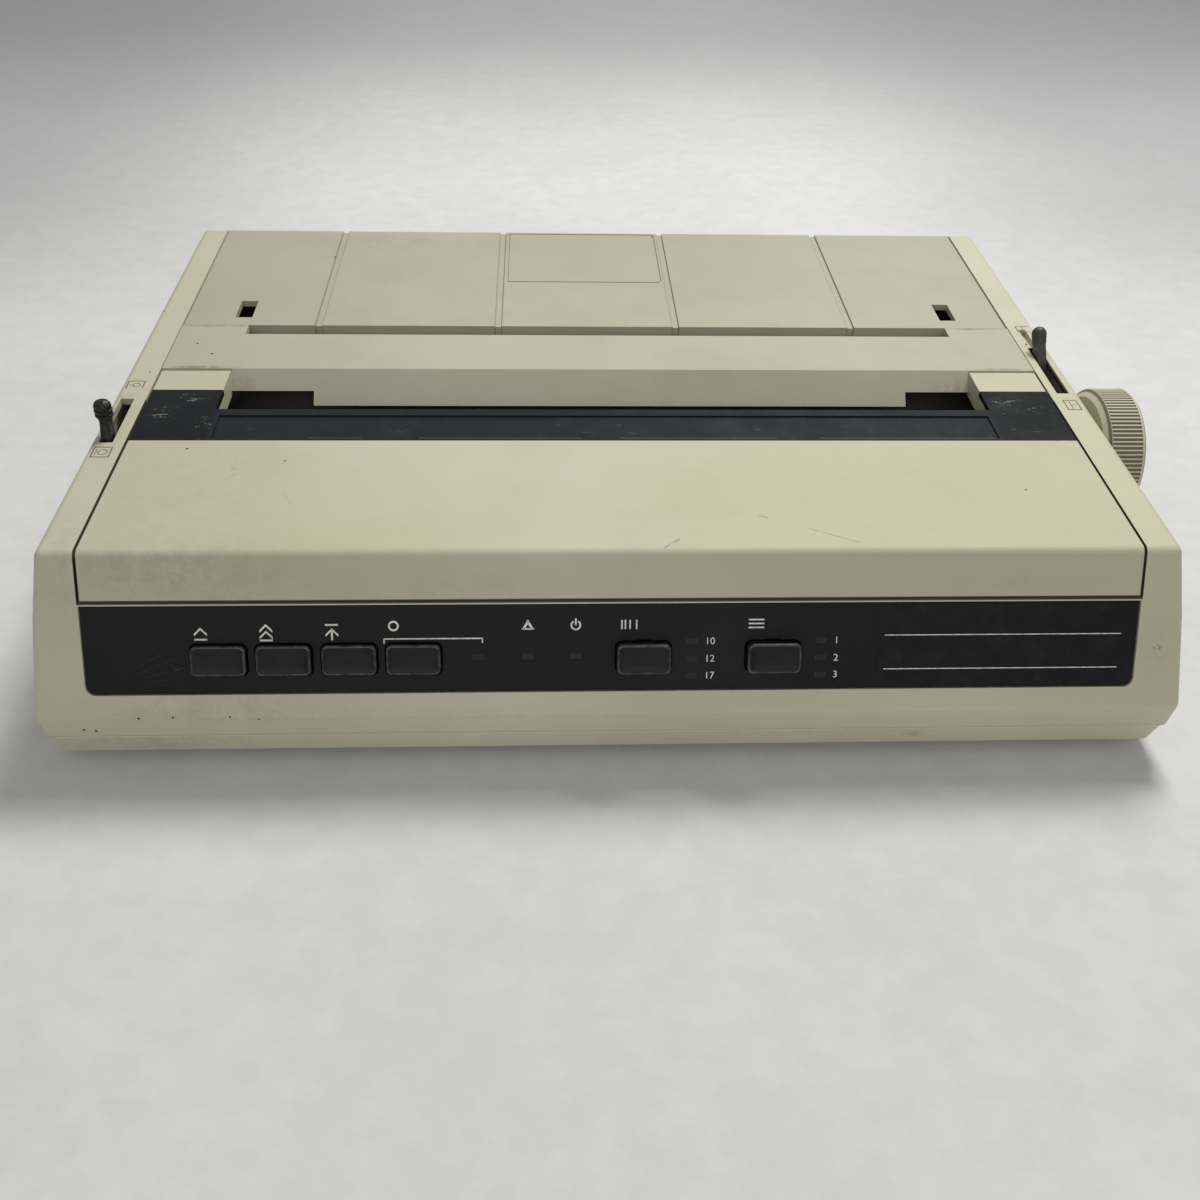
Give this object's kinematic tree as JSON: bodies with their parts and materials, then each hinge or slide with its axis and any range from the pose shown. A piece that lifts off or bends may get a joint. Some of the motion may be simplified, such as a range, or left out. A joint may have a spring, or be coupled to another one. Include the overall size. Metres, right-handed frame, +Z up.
{
  "type": "dot matrix printer",
  "caption": "Low desk-top impact printer with a hinged access cover, a lifting paper separator, an operation panel with keys, a platen knob and a sliding print carriage",
  "frame": {"origin": "on the desk under the middle of the box around the printer with its knob", "axes": "+X to the right across the front, +Y from the front to the rear, +Z up"},
  "size_m": [0.3868, 0.2748, 0.0879],
  "materials": {
    "case_abs": "satin",
    "black_abs": "satin",
    "smoked": "gloss",
    "key_abs": "satin",
    "lamp": "gloss",
    "board": "satin",
    "zinc_sheet": "satin",
    "bright_steel": "polished",
    "rubber": "matt",
    "gear_pom": "satin",
    "brass": "satin",
    "motor": "satin",
    "core": "satin",
    "head": "matt",
    "carriage_pc": "satin",
    "lever_grey": "satin",
    "ribbon_cloth": "matt",
    "ribbon_knob_abs": "satin",
    "coil": "satin",
    "screw": "satin"
  },
  "bodies": {
    "case": {"lower_case": "case_abs", "feet": "rubber", "upper_case": "case_abs", "operation_panel": "black_abs", "panel_lamps": "lamp", "panel_board": "board", "paper_bar": "case_abs", "chassis_base": "zinc_sheet", "side_plates": "zinc_sheet", "guide_shaft": "bright_steel", "spacing_rack": "gear_pom", "paper_chute": "zinc_sheet", "pressure_pivot": "bright_steel", "platen_bushes": "gear_pom", "idler_stub": "bright_steel", "feed_motor": "motor", "main_board": "board", "board_parts": "black_abs", "transformer": "coil", "power_inlet": "black_abs", "switch_housing": "black_abs", "parallel_connector": "zinc_sheet", "case_screws": "screw", "chassis_screws": "screw"},
    "cover": {"access_cover": "case_abs", "cover_window": "smoked"},
    "separator": {"separator": "case_abs"},
    "bail": {"bail_lever": "black_abs", "bail_arms": "zinc_sheet", "bail_bar": "bright_steel"},
    "bail_rollers": {"bail_rollers": "rubber"},
    "release": {"release_lever": "lever_grey", "release_shaft": "bright_steel"},
    "pressure_frame": {"pressure_frame": "zinc_sheet"},
    "front_pressure_rollers": {"front_pressure_rollers": "rubber"},
    "rear_pressure_rollers": {"rear_pressure_rollers": "rubber"},
    "platen": {"platen_sleeve": "rubber", "platen_core": "core", "platen_shaft": "bright_steel", "platen_gear": "gear_pom", "platen_knob": "case_abs"},
    "idler": {"idler_gear": "gear_pom"},
    "feed_pinion": {"feed_pinion": "brass"},
    "carriage": {"carriage": "carriage_pc", "print_head": "head", "spacing_motor": "motor", "ribbon_cartridge": "carriage_pc", "ribbon": "ribbon_cloth"},
    "spacing_pinion": {"spacing_pinion": "brass"},
    "ribbon_knob": {"ribbon_knob": "ribbon_knob_abs"},
    "power_rocker": {"power_rocker": "black_abs"},
    "line_feed_key": {"line_feed_key": "key_abs"},
    "form_feed_key": {"form_feed_key": "key_abs"},
    "top_set_key": {"top_set_key": "key_abs"},
    "select_key": {"select_key": "key_abs"},
    "pitch_key": {"pitch_key": "key_abs"},
    "mode_key": {"mode_key": "key_abs"}
  },
  "joints": [
    {"name": "cover_hinge", "type": "hinge", "parent": "case", "child": "cover", "pos_m": [-0.00747, -0.00359, 0.07338], "axis": [-1, 0, 0], "range_deg": [0, 75]},
    {"name": "separator_hinge", "type": "hinge", "parent": "case", "child": "separator", "pos_m": [-0.00747, 0.04061, 0.0738], "axis": [1, 0, 0], "range_deg": [0, 65]},
    {"name": "bail_swing", "type": "hinge", "parent": "case", "child": "bail", "pos_m": [-0.00747, -0.04749, 0.035], "axis": [-1, 0, 0], "range_deg": [0, 26]},
    {"name": "bail_rollers_spin", "type": "hinge", "parent": "bail", "child": "bail_rollers", "pos_m": [-0.00747, -0.04684, 0.06729], "axis": [1, 0, 0], "continuous": true},
    {"name": "release_swing", "type": "hinge", "parent": "case", "child": "release", "pos_m": [-0.00747, 0.00151, 0.038], "axis": [1, 0, 0], "range_deg": [0, 34]},
    {"name": "pressure_tilt", "type": "hinge", "parent": "case", "child": "pressure_frame", "pos_m": [-0.00747, 0.00801, 0.026], "axis": [1, 0, 0], "range_deg": [0, 4]},
    {"name": "front_pressure_rollers_spin", "type": "hinge", "parent": "pressure_frame", "child": "front_pressure_rollers", "pos_m": [-0.00747, -0.02828, 0.03185], "axis": [1, 0, 0], "continuous": true},
    {"name": "rear_pressure_rollers_spin", "type": "hinge", "parent": "pressure_frame", "child": "rear_pressure_rollers", "pos_m": [-0.00747, -0.0107, 0.03185], "axis": [1, 0, 0], "continuous": true},
    {"name": "platen_spin", "type": "hinge", "parent": "case", "child": "platen", "pos_m": [-0.00747, -0.01949, 0.0507], "axis": [1, 0, 0], "continuous": true},
    {"name": "idler_spin", "type": "hinge", "parent": "case", "child": "idler", "pos_m": [-0.00747, 0.01023, 0.03213], "axis": [1, 0, 0], "continuous": true},
    {"name": "feed_pinion_spin", "type": "hinge", "parent": "case", "child": "feed_pinion", "pos_m": [-0.00747, 0.03474, 0.03734], "axis": [1, 0, 0], "continuous": true},
    {"name": "carriage_slide", "type": "slide", "parent": "case", "child": "carriage", "axis": [1, 0, 0], "range_m": [-0.1016, 0.1016]},
    {"name": "spacing_pinion_spin", "type": "hinge", "parent": "carriage", "child": "spacing_pinion", "pos_m": [-0.04117, 0, 0.033], "axis": [0, 1, 0], "range_deg": [-900, 900]},
    {"name": "ribbon_knob_spin", "type": "hinge", "parent": "carriage", "child": "ribbon_knob", "pos_m": [-0.04667, -0.07999, 0.06], "axis": [0, 0, 1], "continuous": true},
    {"name": "line_feed_key_press", "type": "slide", "parent": "case", "child": "line_feed_key", "axis": [0, 0.9078, -0.4195], "range_m": [0, 0.0012], "stiffness_N_per_m": 400, "springref_m": -0.0006},
    {"name": "form_feed_key_press", "type": "slide", "parent": "case", "child": "form_feed_key", "axis": [0, 0.9078, -0.4195], "range_m": [0, 0.0012], "stiffness_N_per_m": 400, "springref_m": -0.0006},
    {"name": "top_set_key_press", "type": "slide", "parent": "case", "child": "top_set_key", "axis": [0, 0.9078, -0.4195], "range_m": [0, 0.0012], "stiffness_N_per_m": 400, "springref_m": -0.0006},
    {"name": "select_key_press", "type": "slide", "parent": "case", "child": "select_key", "axis": [0, 0.9078, -0.4195], "range_m": [0, 0.0012], "stiffness_N_per_m": 400, "springref_m": -0.0006},
    {"name": "pitch_key_press", "type": "slide", "parent": "case", "child": "pitch_key", "axis": [0, 0.9078, -0.4195], "range_m": [0, 0.0012], "stiffness_N_per_m": 400, "springref_m": -0.0006},
    {"name": "mode_key_press", "type": "slide", "parent": "case", "child": "mode_key", "axis": [0, 0.9078, -0.4195], "range_m": [0, 0.0012], "stiffness_N_per_m": 400, "springref_m": -0.0006},
    {"name": "power_rocker_tilt", "type": "hinge", "parent": "case", "child": "power_rocker", "pos_m": [-0.00747, 0.13168, 0.033], "axis": [1, 0, 0], "range_deg": [-8, 8]}
  ],
  "couplings": [
    {"joint": "pressure_tilt", "follows": "release_swing", "ratio": 0.11765},
    {"joint": "idler_spin", "follows": "platen_spin", "ratio": -0.94444},
    {"joint": "feed_pinion_spin", "follows": "platen_spin", "ratio": 2.4286},
    {"joint": "spacing_pinion_spin", "follows": "carriage_slide", "rad_per_m": 142.86}
  ]
}
